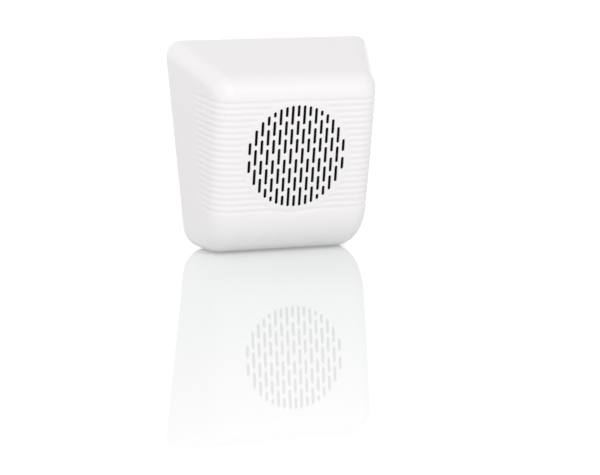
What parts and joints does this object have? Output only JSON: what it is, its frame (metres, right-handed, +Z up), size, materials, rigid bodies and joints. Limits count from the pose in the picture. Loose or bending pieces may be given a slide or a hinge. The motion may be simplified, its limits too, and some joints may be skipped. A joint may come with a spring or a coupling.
{
  "type": "wall cabinet loudspeaker",
  "caption": "White wedge-shaped wall cabinet network loudspeaker: ribbed moulded front with a round slotted grille, four-inch driver, recessed connector bay at the back.",
  "frame": {"origin": "centre of the four M4 bracket inserts on the flat back face", "axes": "+X to the right seen from the front, +Y into the wall (the front faces -Y), +Z up"},
  "size_m": [0.1968, 0.079, 0.191],
  "materials": {
    "white_abs": "satin moulded",
    "white_abs_rear": "fine spark-eroded texture",
    "black_cloth": "woven acoustic cloth",
    "wadding": "polyester wadding",
    "foam": "closed-cell foam",
    "zinc_steel": "bright zinc plate",
    "brass": "machined",
    "board_green": "solder resist",
    "nickel_shell": "nickel plate",
    "gold": "gold plate",
    "grey_plastic": "moulded",
    "black_plastic": "moulded",
    "knob_plastic": "knurled",
    "red_plastic": "moulded",
    "light_lens": "diffused lens",
    "aluminium": "extruded",
    "ferrite": "sintered",
    "can_metal": "sleeved can",
    "cream_plastic": "nylon",
    "lead_red": "insulation",
    "lead_black": "insulation",
    "black_steel": "black electrocoat",
    "rubber": "butyl",
    "paper": "pressed pulp",
    "former_film": "polyimide film",
    "copper": "enamelled wire",
    "spider_cloth": "resin-dipped cotton",
    "phenolic": "paper laminate",
    "orange_plastic": "moulded"
  },
  "bodies": {
    "cabinet": {"front_housing": "white_abs", "grille_cloth": "black_cloth", "damping_pad": "wadding", "rear_panel": "white_abs_rear", "rear_seal": "foam", "rear_screws": "zinc_steel", "mount_inserts": "brass", "main_board": "board_green", "board_screws": "zinc_steel", "network_jack": "nickel_shell", "jack_contacts": "gold", "terminal_block": "grey_plastic", "level_control": "black_plastic", "reset_switch": "black_plastic", "status_light": "light_lens", "amplifier_chip": "black_plastic", "heat_sink": "aluminium", "shield_can": "nickel_shell", "network_chip": "black_plastic", "filter_inductors": "ferrite", "capacitors": "can_metal", "speaker_header": "cream_plastic", "speaker_plug": "cream_plastic", "speaker_lead_plus": "lead_red", "speaker_lead_minus": "lead_black", "driver_gasket": "foam", "driver_basket": "black_steel", "driver_screws": "zinc_steel", "surround": "rubber", "spider": "spider_cloth", "top_plate": "zinc_steel", "magnet_ring": "ferrite", "yoke": "zinc_steel", "terminal_strip": "phenolic", "terminal_tags": "brass", "tinsel_leads": "copper"},
    "cone_assembly": {"cone": "paper", "dust_cap": "paper", "coil_former": "former_film", "coil_winding": "copper"},
    "level_knob": {"level_knob": "knob_plastic"},
    "reset_button": {"reset_button": "red_plastic"},
    "release_button_1": {"release_button_1": "orange_plastic"},
    "release_button_2": {"release_button_2": "orange_plastic"},
    "release_button_3": {"release_button_3": "orange_plastic"},
    "release_button_4": {"release_button_4": "orange_plastic"}
  },
  "joints": [
    {"name": "cone_travel", "type": "slide", "parent": "cabinet", "child": "cone_assembly", "axis": [0, -0.9912, -0.1323], "range_m": [-0.0025, 0.0025], "stiffness_N_per_m": 1200, "deforming": ["surround", "spider", "tinsel_leads"]},
    {"name": "level_turn", "type": "hinge", "parent": "cabinet", "child": "level_knob", "pos_m": [0.033, -0.0175, -0.09], "axis": [0, 1, 0], "range_deg": [-150, 150]},
    {"name": "reset_press", "type": "slide", "parent": "cabinet", "child": "reset_button", "axis": [0, -1, 0], "range_m": [0, 0.0006], "stiffness_N_per_m": 600, "springref_m": -0.0006},
    {"name": "release_1", "type": "slide", "parent": "cabinet", "child": "release_button_1", "axis": [0, -1, 0], "range_m": [0, 0.001], "stiffness_N_per_m": 900, "springref_m": -0.001},
    {"name": "release_2", "type": "slide", "parent": "cabinet", "child": "release_button_2", "axis": [0, -1, 0], "range_m": [0, 0.001], "stiffness_N_per_m": 900, "springref_m": -0.001},
    {"name": "release_3", "type": "slide", "parent": "cabinet", "child": "release_button_3", "axis": [0, -1, 0], "range_m": [0, 0.001], "stiffness_N_per_m": 900, "springref_m": -0.001},
    {"name": "release_4", "type": "slide", "parent": "cabinet", "child": "release_button_4", "axis": [0, -1, 0], "range_m": [0, 0.001], "stiffness_N_per_m": 900, "springref_m": -0.001}
  ]
}
